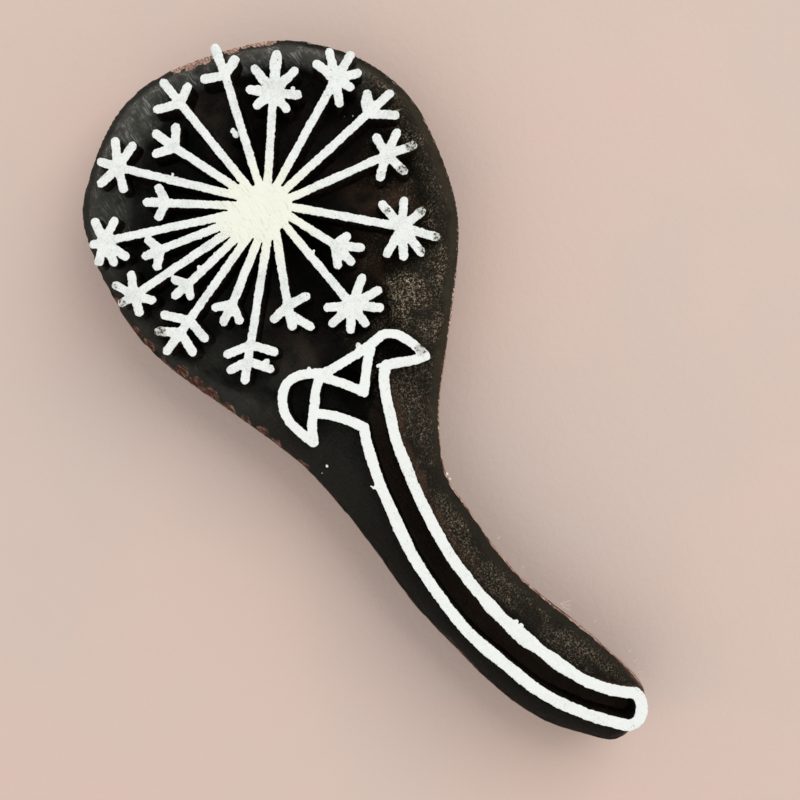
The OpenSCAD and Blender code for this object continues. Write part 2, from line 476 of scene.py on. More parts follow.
class Effects:
    """Shader groups that several finishes share, each built once."""

    def __init__(self) -> None:
        """Build the groups."""
        self.grain = self.make("Wood grain", {"Width": 0.4, "Length": 8.0}, self.fill_grain)
        self.flecks = self.make("Flecks", {"Size": 0.4, "Cover": 0.3}, self.fill_flecks)
        self.scratches = self.make("Scratches", {"Turn": 0.6, "Width": 0.3}, self.fill_scratches)

    def make(self, name: str, values: dict[str, float],
             fill: Callable[[Graph, Outputs], Socket]) -> Tree:
        """Build one group.

        Args:
            name: Name of the group.
            values: Its inputs with their usual values, in millimetres or shares.
            fill: Method that makes its inside.

        Returns:
            The group's tree.
        """
        tree = bpy.data.node_groups.new(name, "ShaderNodeTree")
        tree.interface.new_socket(name="Place", in_out="INPUT", socket_type="NodeSocketVector")
        for key, value in values.items():
            socket = tree.interface.new_socket(name=key, in_out="INPUT", socket_type="NodeSocketFloat")
            socket.default_value = value
        tree.interface.new_socket(name="Mask", in_out="OUTPUT", socket_type="NodeSocketFloat")
        graph = Graph(tree)
        start = graph.add("NodeGroupInput")
        end = graph.add("NodeGroupOutput")
        graph.feed(end.inputs["Mask"], fill(graph, start.outputs))
        return tree

    @staticmethod
    def fill_grain(graph: Graph, given: Outputs) -> Socket:
        """Fibres along the block's length, from 0 to 1.

        Args:
            graph: The group's graph.
            given: The group's inputs.

        Returns:
            The mask.
        """
        per_metre = graph.math("DIVIDE", 1000.0, given["Width"])
        ratio = graph.math("DIVIDE", given["Width"], given["Length"])
        scale = graph.add("ShaderNodeCombineXYZ", {0: 1.0, 1: ratio, 2: 1.0}).outputs[0]
        place = graph.add("ShaderNodeVectorMath", {0: given["Place"], 1: scale}, operation="MULTIPLY")
        node = graph.add("ShaderNodeTexNoise", {"Vector": place.outputs[0], "Scale": per_metre})
        node.inputs["Detail"].default_value = 5.0
        return graph.between(node.outputs[0], 0.3, 0.7)

    @staticmethod
    def fill_flecks(graph: Graph, given: Outputs) -> Socket:
        """Scattered grains of dust or bare wood, 1 on a grain.

        Args:
            graph: The group's graph.
            given: The group's inputs.

        Returns:
            The mask.
        """
        per_metre = graph.math("DIVIDE", 1000.0, given["Size"])
        node = graph.add("ShaderNodeTexNoise", {"Vector": given["Place"], "Scale": per_metre})
        node.inputs["Detail"].default_value = 3.0
        node.inputs["Roughness"].default_value = 0.75
        limit = graph.minus(0.75, graph.times(given["Cover"], 0.4))
        return graph.times(graph.minus(node.outputs[0], limit), 11.0, clamp=True)

    @staticmethod
    def fill_scratches(graph: Graph, given: Outputs) -> Socket:
        """Short fine scratches that wander a little, 1 in a scratch.

        Args:
            graph: The group's graph.
            given: The group's inputs.

        Returns:
            The mask.
        """
        drift = graph.add("ShaderNodeTexNoise", {"Vector": given["Place"], "Scale": 170.0}).outputs["Color"]
        inputs = {0: drift, 1: (0.0018, 0.0018, 0.0), 2: given["Place"]}
        bent = graph.add("ShaderNodeVectorMath", inputs, operation="MULTIPLY_ADD").outputs[0]
        turn = graph.add("ShaderNodeCombineXYZ", {2: given["Turn"]}).outputs[0]
        turned = graph.add("ShaderNodeMapping", {"Vector": bent, "Rotation": turn})
        turned.inputs["Scale"].default_value = (1.0, 0.09, 0.3)
        per_metre = graph.math("DIVIDE", 1000.0, given["Width"])
        node = graph.add("ShaderNodeTexNoise", {"Vector": turned.outputs[0], "Scale": per_metre})
        node.inputs["Detail"].default_value = 2.0
        broken = graph.between(graph.noise(given["Place"], 520.0, 2.0), 0.42, 0.58)
        return graph.times(graph.between(node.outputs[0], 0.54, 0.66), broken)


@dataclass(frozen=True)
class Finish:
    """What every finish of the block shares."""

    effects: Effects
    name: str = "finish"
    specular: float = 0.5

    def start(self) -> tuple[Material, Graph, Node, Socket]:
        """Make an empty material.

        Returns:
            The material, its graph, its shader and the place on the piece.
        """
        material = bpy.data.materials.new(self.name)
        material.use_nodes = True
        graph = Graph(material.node_tree)
        shader = material.node_tree.nodes["Principled BSDF"]
        place = graph.add("ShaderNodeTexCoord").outputs["Object"]
        return material, graph, shader, place

    def effect(self, graph: Graph, tree: Tree, place: Socket, **values: Value) -> Socket:
        """Put a shared effect into a material.

        Args:
            graph: The material's graph.
            tree: The effect.
            place: Where it is read.
            **values: Its own values.

        Returns:
            The effect's mask.
        """
        node = graph.add("ShaderNodeGroup", node_tree=tree)
        graph.feed(node.inputs["Place"], place)
        for key, value in values.items():
            graph.feed(node.inputs[key], value)
        return node.outputs["Mask"]

    def join(self, graph: Graph, shader: Node, colour: Socket, rough: Value, height: Socket,
             deep: float) -> None:
        """Join the finish's nodes to its shader.

        Args:
            graph: The material's graph.
            shader: The shader.
            colour: Colour over the surface.
            rough: Roughness over the surface.
            height: Fine relief over the surface.
            deep: Depth of that relief in metres.
        """
        graph.feed(shader.inputs["Base Color"], colour)
        graph.feed(shader.inputs["Roughness"], rough)
        shader.inputs["Specular IOR Level"].default_value = self.specular
        bump = graph.add("ShaderNodeBump", {"Height": height, "Distance": deep, "Strength": 1.0})
        graph.feed(shader.inputs["Normal"], bump.outputs[0])


@dataclass(frozen=True)
class WoodMasks:
    """What the layers of the block's wood share: the graph, the place and the masks."""

    graph: Graph
    place: Socket
    grain: Socket
    grains: Socket
    lines: Socket
    cloud: Socket


@dataclass(frozen=True)
class BlockWood(Finish):
    """Dark stained wood of the block, brown and speckled where it is handled, bare at its edges, with a
    painted sheen and painted highlights.
    """

    name: str = "dark_block_wood"
    specular: float = 0.11
    stain: Colour = (0.0058, 0.0056, 0.0038)
    stain_warm: Colour = (0.0115, 0.0090, 0.0055)
    red_ground: Colour = (0.125, 0.066, 0.040)
    # Painted sheen of the smooth margin; the lighter colour is the painted glint of its scratches and also
    # the colour of the dust
    painted_sheen_olive: Colour = (0.066, 0.066, 0.056)
    dust_and_painted_glint: Colour = (0.29, 0.29, 0.27)
    umber: Colour = (0.037, 0.030, 0.018)
    brown: Colour = (0.0105, 0.0086, 0.0053)
    fleck: Colour = (0.68, 0.56, 0.37)
    fleck_red: Colour = (0.56, 0.32, 0.21)
    channel_brown: Colour = (0.060, 0.040, 0.026)
    sawn: Colour = (0.050, 0.025, 0.0155)
    sawn_light: Colour = (0.21, 0.115, 0.074)
    bare: Colour = (0.062, 0.024, 0.016)
    bare_light: Colour = (0.28, 0.145, 0.105)
    pale: Colour = (0.40, 0.22, 0.16)
    pale_light: Colour = (0.74, 0.58, 0.48)

    def material(self) -> Material:
        """Build the finish.

        Returns:
            The material.
        """
        material, graph, shader, place = self.start()
        fx = self.effects
        grain = self.effect(graph, fx.grain, place, Width=0.5, Length=9.0)
        cloud = graph.noise(place, 260.0)
        fine = self.effect(graph, fx.flecks, place, Size=0.34, Cover=0.58)
        coarse = self.effect(graph, fx.flecks, place, Size=0.66, Cover=0.40)
        grains = graph.most(graph.times(fine, 0.5), coarse)
        first = self.effect(graph, fx.scratches, place, Turn=0.35, Width=0.22)
        second = self.effect(graph, fx.scratches, place, Turn=-0.75, Width=0.17)
        third = self.effect(graph, fx.scratches, place, Turn=1.35, Width=0.20)
        across = graph.times(graph.most(second, third), 0.7)
        lines = graph.most(first, across)
        tone = graph.mix(graph.times(grain, graph.between(cloud, 0.4, 0.75)),
                         self.stain, self.stain_warm)
        dust = self.effect(graph, fx.flecks, place, Size=0.30, Cover=0.20)
        tone = graph.mix(graph.times(dust, 0.22), tone, self.dust_and_painted_glint)
        wood = WoodMasks(graph, place, grain, grains, lines, cloud)
        for layer in (self.wear_and_painted_sheen, self.edge_band, self.speckled, self.red_wood, self.channel,
                      self.cut_sides, self.worn_edges):
            tone = layer(wood, tone)
        dull = graph.plus(0.46, graph.times(cloud, 0.3))
        height = graph.plus(graph.times(grain, 0.4), graph.times(grains, 0.7))
        height = graph.minus(height, graph.times(lines, 0.4))
        self.join(graph, shader, tone, dull, height, 0.00016)
        return material

    def red_wood(self, wood: WoodMasks, tone: Socket) -> Socket:
        """Let reddish wood show through the stain of the carved ground, and paint a lit reddish band beside
        the stem's right rail.

        Args:
            wood: The shared masks.
            tone: The colour so far.

        Returns:
            The colour with this layer on it.
        """
        graph = wood.graph
        share = graph.times(graph.attribute("warm"), graph.between(wood.cloud, 0.32, 0.62))
        share = graph.times(share, graph.plus(0.35, wood.grains), clamp=True)
        return graph.mix(share, tone, self.red_ground)

    def channel(self, wood: WoodMasks, tone: Socket) -> Socket:
        """Show the long brown strokes in the groove of the stem.

        Args:
            wood: The shared masks.
            tone: The colour so far.

        Returns:
            The colour with this layer on it.
        """
        graph = wood.graph
        share = graph.times(graph.attribute("channel"), graph.plus(0.4, wood.cloud))
        share = graph.plus(share, graph.times(graph.attribute("channel"), wood.grains), clamp=True)
        return graph.mix(share, tone, self.channel_brown)

    def wear_and_painted_sheen(self, wood: WoodMasks, tone: Socket) -> Socket:
        """Lay the painted sheen of the smooth margin over the wood, with painted glints along its scratches.

        Args:
            wood: The shared masks.
            tone: The colour so far.

        Returns:
            The colour with this layer on it.
        """
        graph = wood.graph
        # Painted sheen: the margin's sheen and the glints of its scratch lines are painted into the colour
        patch = graph.times(wood.lines, graph.between(wood.cloud, 0.3, 0.62))
        patch = graph.times(patch, graph.attribute("wear_and_painted_sheen"))
        sheen = graph.mix(patch, self.painted_sheen_olive, self.dust_and_painted_glint)
        share = graph.times(graph.attribute("wear_and_painted_sheen"), graph.between(wood.cloud, 0.16, 0.5))
        return graph.mix(share, tone, sheen)

    def edge_band(self, wood: WoodMasks, tone: Socket) -> Socket:
        """Lay the smooth umber band along the right edge over the wood."""
        share = wood.graph.times(wood.graph.attribute("outer"), wood.graph.between(wood.cloud, 0.10, 0.55))
        return wood.graph.mix(share, tone, self.umber)

    def speckled(self, wood: WoodMasks, tone: Socket) -> Socket:
        """Lay the rough brown margin with its pale grains, thick here and thin there, over the wood.

        Args:
            wood: The shared masks.
            tone: The colour so far.

        Returns:
            The colour with this layer on it.
        """
        graph = wood.graph
        thick = graph.between(graph.noise(wood.place, 170.0, 4.0), 0.40, 0.60)
        clump = graph.times(wood.grains, graph.plus(0.16, graph.times(thick, 0.84)))
        reddish = graph.between(graph.noise(wood.place, 620.0, 2.0), 0.50, 0.68)
        fleck = graph.mix(reddish, self.fleck, self.fleck_red)
        rough = graph.mix(clump, self.brown, fleck)
        share = graph.times(graph.attribute("brown"), graph.between(wood.cloud, 0.12, 0.42))
        return graph.mix(share, tone, rough)

    def cut_sides(self, wood: WoodMasks, tone: Socket) -> Socket:
        """Show the grain of the sawn sides and of the back.

        Args:
            wood: The shared masks.
            tone: The colour so far.

        Returns:
            The colour with this layer on it.
        """
        graph = wood.graph
        saw = graph.noise(graph.stretched(wood.place, (1.0, 1.0, 0.06)), 1100.0, 3.0)
        share = graph.times(graph.between(saw, 0.38, 0.66), graph.between(wood.cloud, 0.25, 0.7))
        share = graph.plus(graph.times(share, 0.6), graph.times(wood.grain, 0.4))
        return graph.mix(graph.attribute("cut"), tone, graph.mix(share, self.sawn, self.sawn_light))

    def worn_edges(self, wood: WoodMasks, tone: Socket) -> Socket:
        """Bare the wood in hatched strokes where the edges are worn; the same colours also paint the
        highlight along the right edges.

        Args:
            wood: The shared masks.
            tone: The colour so far.

        Returns:
            The colour with this layer on it.
        """
        graph = wood.graph
        fibre = self.effect(graph, self.effects.grain, wood.place, Width=0.30, Length=1.8)
        hatch = self.effect(graph, self.effects.scratches, wood.place, Turn=0.95, Width=0.26)
        spot = graph.between(fibre, 0.45, 1.0)
        red = graph.mix(spot, self.bare, self.bare_light)
        bared = graph.mix(graph.attribute("pale"), red, graph.mix(spot, self.pale, self.pale_light))
        bared = graph.mix(graph.times(hatch, 0.8), bared, self.stain_warm)
        worn = graph.plus(graph.attribute("bare"), graph.times(fibre, 0.7))
        return graph.mix(graph.between(worn, 0.72, 1.2), tone, bared)


@dataclass(frozen=True)
class LineWood(Finish):
    """Dark wood of the raised lines' sides, with the strokes of the knife."""

    name: str = "dark_line_wood"
    specular: float = 0.12
    stain: Colour = (0.0085, 0.0066, 0.0044)
    warm: Colour = (0.052, 0.029, 0.016)

    def material(self) -> Material:
        """Build the finish.

        Returns:
            The material.
        """
        material, graph, shader, place = self.start()
        upright = graph.stretched(place, (1.0, 1.0, 0.22))
        strokes = graph.between(graph.noise(upright, 1500.0, 4.0), 0.4, 0.68)
        cloud = graph.between(graph.noise(place, 190.0), 0.35, 0.7)
        share = graph.times(strokes, graph.plus(0.25, graph.times(cloud, 0.6)))
        dull = graph.plus(0.5, graph.times(cloud, 0.3))
        self.join(graph, shader, graph.mix(share, self.stain, self.warm), dull, strokes, 0.00012)
        return material


@dataclass(frozen=True)
class ChalkCoat(Finish):
    """Dried white paint with a painted grey shade, pin holes, thin patches and worn tips."""

    name: str = "chalk_coat"
    specular: float = 0.25
    white: Colour = (0.875, 0.90, 0.865)
    shade: Colour = (0.59, 0.63, 0.60)
    cream: Colour = (0.885, 0.90, 0.775)
    thin_coat: Colour = (0.40, 0.39, 0.33)
    under: Colour = (0.040, 0.036, 0.028)

    def material(self) -> Material:
        """Build the finish.

        Returns:
            The material.
        """
        material, graph, shader, place = self.start()
        fx = self.effects
        cloud = graph.noise(place, 380.0)
        chalk = graph.noise(place, 3000.0, 5.0, 0.65)
        creamy = graph.attribute("creamy")
        # Painted shade: a grey mottle stands in for the shading of the coat's lumps, weaker on the stem and
        # the drops
        painted_shade_share = graph.minus(1.0, graph.times(graph.attribute("less_painted_shade"), 0.8))
        grey = graph.plus(graph.times(graph.between(chalk, 0.44, 0.74), 0.7),
                          graph.times(graph.between(cloud, 0.42, 0.70), 0.34), clamp=True)
        tone = graph.mix(graph.times(grey, painted_shade_share), self.white, self.shade)
        cream = graph.mix(graph.between(chalk, 0.55, 0.85), self.cream, self.white)
        tone = graph.mix(creamy, tone, cream)
        pin = self.effect(graph, fx.flecks, place, Size=0.34, Cover=0.30)
        crumb = self.effect(graph, fx.flecks, place, Size=0.24, Cover=0.42)
        rim = graph.times(crumb, graph.attribute("rim"))
        worn = graph.attribute("worn")
        tone = graph.mix(graph.times(graph.between(worn, 0.35, 0.95), 0.6), tone, self.thin_coat)
        patch = graph.noise(place, 2300.0, 4.0, 0.7)
        gone = graph.plus(graph.times(worn, 0.25), patch)
        wear_and_painted_sheen = graph.between(gone, 0.71, 0.80)
        streak = self.effect(graph, fx.scratches, place, Turn=1.15, Width=0.34)
        streak = graph.times(streak, graph.times(creamy, 0.16))
        thin = graph.times(pin, graph.between(cloud, 0.52, 0.66))
        thin = graph.most(graph.times(thin, 0.8), streak)
        thin = graph.most(thin, graph.times(rim, 0.7))
        pits = self.effect(graph, fx.flecks, place, Size=0.27, Cover=0.44)
        pits = graph.times(pits, graph.between(graph.noise(place, 300.0), 0.53, 0.66))
        thin = graph.most(thin, graph.times(pits, 0.65))
        tone = graph.mix(graph.most(thin, wear_and_painted_sheen), tone, self.under)
        dull = graph.plus(0.72, graph.times(chalk, 0.2))
        height = graph.minus(chalk, graph.times(wear_and_painted_sheen, 0.6))
        self.join(graph, shader, tone, dull, height, 0.00016)
        return material


@dataclass(frozen=True)
class PaleFibre(Finish):
    """Torn pale fibres of the wood."""

    name: str = "pale_fibre"
    pale: Colour = (0.92, 0.74, 0.65)
    rosy: Colour = (0.74, 0.50, 0.42)

    def material(self) -> Material:
        """Build the finish.

        Returns:
            The material.
        """
        material, graph, shader, place = self.start()
        fibre = self.effect(graph, self.effects.grain, place, Width=0.25, Length=1.2)
        dull = graph.plus(0.6, graph.times(fibre, 0.25))
        self.join(graph, shader, graph.mix(fibre, self.rosy, self.pale), dull, fibre, 0.00005)
        return material


@dataclass(frozen=True)
class PaleFloor(Finish):
    """Plain pale plaster under the block."""

    name: str = "pale_floor"
    specular: float = 0.2
    colour: Colour = (0.68, 0.52, 0.452)
    colour_grey: Colour = (0.637, 0.52, 0.462)

    def material(self) -> Material:
        """Build the finish.

        Returns:
            The material.
        """
        material, graph, shader, place = self.start()
        soft = graph.between(graph.noise(place, 14.0, 3.0), 0.35, 0.7)
        tone = graph.mix(soft, self.colour, self.colour_grey)
        self.join(graph, shader, tone, 0.9, graph.noise(place, 700.0, 4.0), 0.00010)
        return material


LEFT_RAIL: Path = (
    (18.2, -39.1), (18.5, -41.2), (19.6, -45), (21.1, -49.5), (23.4, -54.7), (26.8, -62), (31.3, -68.9),
    (36.9, -76), (43.6, -81.8), (50.3, -87), (58.3, -90.8), (65.9, -92.9),
)
RIGHT_RAIL: Path = (
    (22.1, -28), (21.8, -29.9), (22, -32.9), (23, -37.4), (24.1, -41.9), (25.9, -46.4), (28.3, -52.2),
    (33.4, -61.7), (38.3, -68.2), (43.5, -74), (49.7, -79.1), (56.8, -84.1), (62.3, -86.3), (67.1, -87),
)
LEFT_LEAF: Path = (
    (10.3, -29.4), (6.8, -29.7), (4.5, -31), (3.6, -33), (3.6, -35.5), (4.7, -38), (6.8, -40.1), (9, -41.9),
    (8.8, -38.9), (9.2, -35.5), (9.5, -32.4),
)
RIGHT_LEAF: Path = (
    (10.8, -29.6), (16.6, -26.5), (19.4, -24.5), (21.4, -22.5), (23.2, -22.3), (24.7, -22.7), (27, -24.1),
    (29.3, -26.3), (27.2, -27), (24.5, -27.4), (22.1, -28),
)
FOOT: Path = ((67.1, -87), (67.8, -87.8), (68.2, -89.2), (68.1, -90.7), (67.4, -92.1), (65.9, -92.9))
NECK: Path = ((9.2, -36.7), (11.9, -36.9), (15.1, -37.8), (18.2, -39.1))
MID_LEAF: Path = (
    (10.4, -30), (13, -30.8), (15.6, -31.7), (18.2, -32.9), (18.4, -30.4), (18.7, -28.1), (19.4, -24.8),
)


def within(p: np.ndarray, path: Path) -> np.ndarray:
    """Tell which points lie inside a closed path.

    Args:
        p: Points whose first two columns count.
        path: Corners of the path.

    Returns:
        True for each point inside.
    """
    inside = np.zeros(len(p), bool)
    for (ax, ay), (bx, by) in zip(path, list(path[1:]) + [path[0]]):
        crosses = (ay > p[:, 1]) != (by > p[:, 1])
        at = ax + (p[:, 1] - ay) / (by - ay if by != ay else 1e-9) * (bx - ax)
        inside ^= crosses & (p[:, 0] < at)
    return inside


@dataclass
class Relief:
    """Height of the carved wood between the lines and the edge, as the carver left it."""

    ground: float = GROUND_HEIGHT
    rim: float = 17.2
    flank: float = 20.7
    margin: float = 19.6
    bearings: Sequence[float] = (-180, -150, -120, -95, -80, -60, -42, -30, 0, 30, 50, 75, 95, 120, 150, 180)
    rise_from: Sequence[float] = (21, 25, 28, 30, 33, 33, 29, 21, 26, 25, 25, 26, 24, 23.5, 22, 21)
    rise_to: Sequence[float] = (27, 30, 32, 35, 38, 38, 33, 27.5, 32, 31, 30, 29.5, 28.5, 28, 27.5, 27)

    def lines(self) -> list[Path]:
        """Give the paths of the leaves and the stem."""
        return [LEFT_RAIL, RIGHT_RAIL, LEFT_LEAF, RIGHT_LEAF, FOOT, NECK, MID_LEAF]

    def height(self, p: np.ndarray, gap: np.ndarray) -> np.ndarray:
        """Work out the carved surface.

        Args:
            p: Drawing points.
            gap: Their distance to the block's edge.

        Returns:
            The surface's height at each point, in millimetres.
        """
        r = np.hypot(p[:, 0], p[:, 1])
        a = np.degrees(np.arctan2(p[:, 1], p[:, 0]))
        low = np.interp(a, self.bearings, self.rise_from)
        high = np.interp(a, self.bearings, self.rise_to)
        rise = step((r - low) / (high - low), 0.0, 1.0)
        round_part = self.ground + (self.margin - self.ground) * rise
        round_part = self.rim + (round_part - self.rim) * step(gap, 0.0, 3.4)
        near = np.min([np.abs(to_path(p, one)) for one in self.lines()], 0)
        share = np.clip(gap / (gap + np.maximum(near - 0.8, 0.0) + 1e-6), 0.0, 1.0)
        flank = self.rim + (self.flank - self.rim) * np.sin(share * math.pi / 2)
        stem = [*RIGHT_RAIL, *FOOT[1:], *LEFT_RAIL[::-1], *NECK[::-1], (10, -31), (18, -33)]
        deep = within(p, stem) | within(p, LEFT_LEAF) | within(p, RIGHT_LEAF) | within(p, MID_LEAF)
        flank = np.where(deep, self.ground + 0.3, flank)
        return flank + (round_part - flank) * step(r, 35.0, 32.0) * np.where(deep, 0.0, 1.0)


@dataclass
class CarvedBlock:
    """The block itself: sawn sides, flat back, rough margin and gouged ground."""

    grid: float = 0.45
    faces: float = 0.86
    soften: int = 3
    ground: float = GROUND_HEIGHT
    gouge: float = 0.3
    saw: float = 0.16
    taper: float = 0.65
    relief: Relief = field(default_factory=Relief)
    stem: Path = (
        (72, -90.5), (62, -88.5), (54, -84), (46, -77.5), (38.5, -70.5), (32, -63), (27, -55), (23, -46),
        (20, -38), (14, -29), (0, 0), (-6, 34),
    )
    bare_edges: Marks = (
        (178, 68, 10, 0.8), (190, 63, 12, 1.1), (203, 58, 12, 1.2), (214, 54, 10, 1.0), (232, 49, 9, 0.9),
        (246, 44, 9, 0.6), (258, 42, 10, 0.8), (270, 41, 8, 0.7), (138, 332, 9, 0.6), (150, 345, 10, 0.75),
        (165, 360, 9, 0.45), (182, 372, 10, 0.8), (196, 384, 11, 0.9), (210, 395, 11, 0.9),
        (228, 409, 10, 0.7), (246, 422, 10, 0.6), (262, 433, 10, 0.8), (275, 445, 9, 0.6),
        (303, 466, 9, 0.5), (640, 672, 12, 0.6), (628, 650, 10, 0.5), (118, 300, 8, 0.4),
    )
    warm_ground: Marks = (
        (372, 186, 34, 1.0), (395, 215, 34, 1.0), (350, 245, 30, 0.8), (330, 150, 30, 0.25),
        (395, 270, 26, 0.9), (208, 112, 20, 0.9), (222, 150, 20, 0.6), (292, 345, 34, 0.4),
        (270, 310, 26, 0.4), (300, 120, 24, 0.2), (215, 200, 22, 0.4), (250, 120, 18, 0.5),
        (170, 250, 20, 0.4), (205, 300, 18, 0.4),
    )

    def build(self, node: Piece, material: Material) -> Piece:
        """Model and dress the block.

        Args:
            node: The CAD node that it stands for.
            material: Its finish.

        Returns:
            The piece.
        """
        outline = self.edge(node)
        bench = Bench.copy_of(node, "carved_block")
        self.lean_in(bench, outline)
        bench.remesh(self.grid)
        self.hollow(bench, outline)
        bench.remesh(self.grid)
        bench.modify("SMOOTH", factor=0.5, iterations=self.soften)
        bench.modify("DECIMATE", ratio=self.faces)
        self.carve(bench, outline)
        self.shade(bench, outline)
        bench.smooth_shade(50.0)
        bench.dress(material, Slot.BLOCK)
        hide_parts("block_body")
        return bench.piece

    @staticmethod
    def edge(node: Piece) -> Path:
        """Corners of the block's outline, read from the flat back and put in order.

        Args:
            node: The CAD node.

        Returns:
            Drawing points round the outline.
        """
        co = np.array([v.co for v in node.data.vertices], float)
        low = np.unique(np.round(DRAWING.flat(co[co[:, 2] < 1e-6]), 4), axis=0)[:, :2]
        left = [tuple(p) for p in low]
        path = [left.pop(int(np.argmax([p[1] for p in left])))]
        while left:
            gaps = [math.dist(path[-1], p) for p in left]
            path.append(left.pop(int(np.argmin(gaps))))
        return path

    def lean_in(self, bench: Bench, outline: Path) -> None:
        """Let the sawn sides lean in a little towards the back.

        Args:
            bench: The bench that holds the block.
            outline: The block's outline.
        """
        p = DRAWING.flat(bench.points())
        ring = np.array(outline)
        ahead = np.roll(ring, -1, 0)
        along = ahead - np.roll(ring, 1, 0)
        turn = np.sign(np.sum(ring[:, 0] * ahead[:, 1] - ring[:, 1] * ahead[:, 0]))
        inward = np.stack([-along[:, 1], along[:, 0]], 1) * turn
        inward /= np.linalg.norm(inward, axis=1)[:, None]
        for i in np.where(p[:, 2] < 0.001)[0]:
            near = np.argmin(np.hypot(ring[:, 0] - p[i, 0], ring[:, 1] - p[i, 1]))
            p[i, :2] += self.taper * inward[near]
        bench.move(DRAWING.solid(p))

    def hollow(self, bench: Bench, outline: Path) -> None:
        """Bring the upper surface to the carved height.

        Args:
            bench: The bench that holds the block.
            outline: The block's outline.
        """
        co = bench.points()
        p = DRAWING.flat(co)
        gap = np.abs(to_path(p, outline, True))
        upper = (p[:, 2] > self.ground - 0.3) & ((gap > 0.35) | (bench.normals()[:, 2] > 0.5))
        co[:, 2] = np.where(upper, self.relief.height(p, gap) * MM, co[:, 2])
        bench.move(co)

    def carve(self, bench: Bench, outline: Path) -> None:
        """Give the surfaces the marks of gouge and saw.

        Args:
            bench: The bench that holds the block.
            outline: The block's outline.
        """
        co = bench.points()
        n = bench.normals()
        p = DRAWING.flat(co)
        x, y, z = p.T
        gap = np.abs(to_path(p, outline, True))
        top = step(n[:, 2], 0.35, 0.8)
        side = step(1.0 - np.abs(n[:, 2]), 0.4, 0.8) * step(gap, 2.5, 0.8)
        r = np.hypot(x, y)
        a = np.arctan2(y, x)
        polar = np.stack([r, a * 22.0, z], 1)
        strokes = lumps(polar, (5.0, 1.6, 9.0), 3) * 0.6 + lumps(p, (2.2, 2.2, 9.0), 4) * 0.5
        rough = lumps(p, 0.9, 5) * 0.35 + lumps(p, 4.5, 6) * 0.5
        floor = step(z, 18.6, 17.2) * top
        drop = floor * (self.gouge * strokes - 0.1)
        drop += top * (1 - floor) * (0.16 * rough - 0.08)
        saws = lumps(p, (1.1, 1.1, 30.0), 7) * 0.6 + lumps(p, (3.0, 3.0, 5.0), 8) * 0.6
        cut = side * (self.saw * saws - self.saw)
        chips = step(lumps(p, (1.6, 1.6, 2.0), 9), 0.25, 0.7) * step(gap, 1.6, 0.3) * step(z, 14.0, 16.5)
        flat = p.copy()
        c, s = DRAWING.turn()
        ring = np.stack([n[:, 0] * c - n[:, 1] * s, n[:, 0] * s + n[:, 1] * c], 1)
        ring /= np.maximum(np.linalg.norm(ring, axis=1), 1e-6)[:, None]
        flat[:, :2] += ring * (cut * step(z, 0.2, 1.5))[:, None]
        flat[:, 2] += drop - 0.5 * chips * top
        bench.move(np.clip(DRAWING.solid(flat), co.min(0), co.max(0)))

    def shade(self, bench: Bench, outline: Path) -> None:
        """Store where the wood is worn smooth under a painted sheen, brown or bare, and where a painted
        highlight and a painted lit band go.

        Args:
            bench: The bench that holds the block.
            outline: The block's outline.
        """
        co = bench.points()
        n = bench.normals()
        p = DRAWING.flat(co)
        x, y, z = p.T
        gap = np.abs(to_path(p, outline, True))
        side = to_path(p, self.stem)
        r = np.hypot(x, y)
        a = np.degrees(np.arctan2(y, x))
        up = step(n[:, 2], 0.05, 0.5)
        wave = lumps(p, 5.0, 21) * 1.4 + lumps(p, 1.6, 22) * 0.6
        high = step(z, self.ground + 0.6, self.ground + 2.2)
        flower = step(y, -34, -24)
        right_round = step(x + wave, 15.0, 21.0) * step(y + wave, 31.0, 23.0)
        right_round *= step(y, -30, -24)
        right_stem = step(side + 0.2 * wave, 2.0, 3.0) * step(y, -18, -26)
        band = step(gap + 0.4 * wave, 1.2, 2.8)
        outer = step(side, 2.0, 5.0) * step(y + wave, 31.0, 23.0) * (1 - band) * up
        outer *= 1.0 - 0.6 * step(y, -36.0, -48.0)
        band = 0.12 + 0.88 * band
        brown = np.maximum(right_round * np.maximum(high, 0.4), 0.52 * right_stem) * band * up
        turn = np.where(a < -100, a + 360, a)
        left_round = step(r + wave, 22.0, 26.5) * step(turn, 40, 66) * step(turn, 218, 188) * flower
        left_round *= 0.70 + 0.30 * step(turn, 172, 150)
        # Painted sheen on the smooth margin and on the stem's left flank, over its real scratches
        wear_and_painted_sheen = left_round * up * np.maximum(high, 0.06)
        flank = 0.10 * step(y, -66, -48) + 0.20 * step(y, -42, -34)
        wear_and_painted_sheen = np.maximum(wear_and_painted_sheen, flank * up * step(-side, 2.5, 4.0))
        wide = 3.2 * self.spots(p, self.bare_edges, EDGE_HEIGHT)
        fray = 0.6 * lumps(p, 0.8, 27) + 0.5 * lumps(p, 2.6, 28)
        bare = step(wide - gap + fray, -0.3, 1.4) * step(wide, 0.1, 0.5) * (0.45 + 0.55 * up)
        worn_rim = step(gap, 0.75, 0.25) * (0.30 + 0.26 * lumps(p, (1.8, 1.8, 4.0), 24))
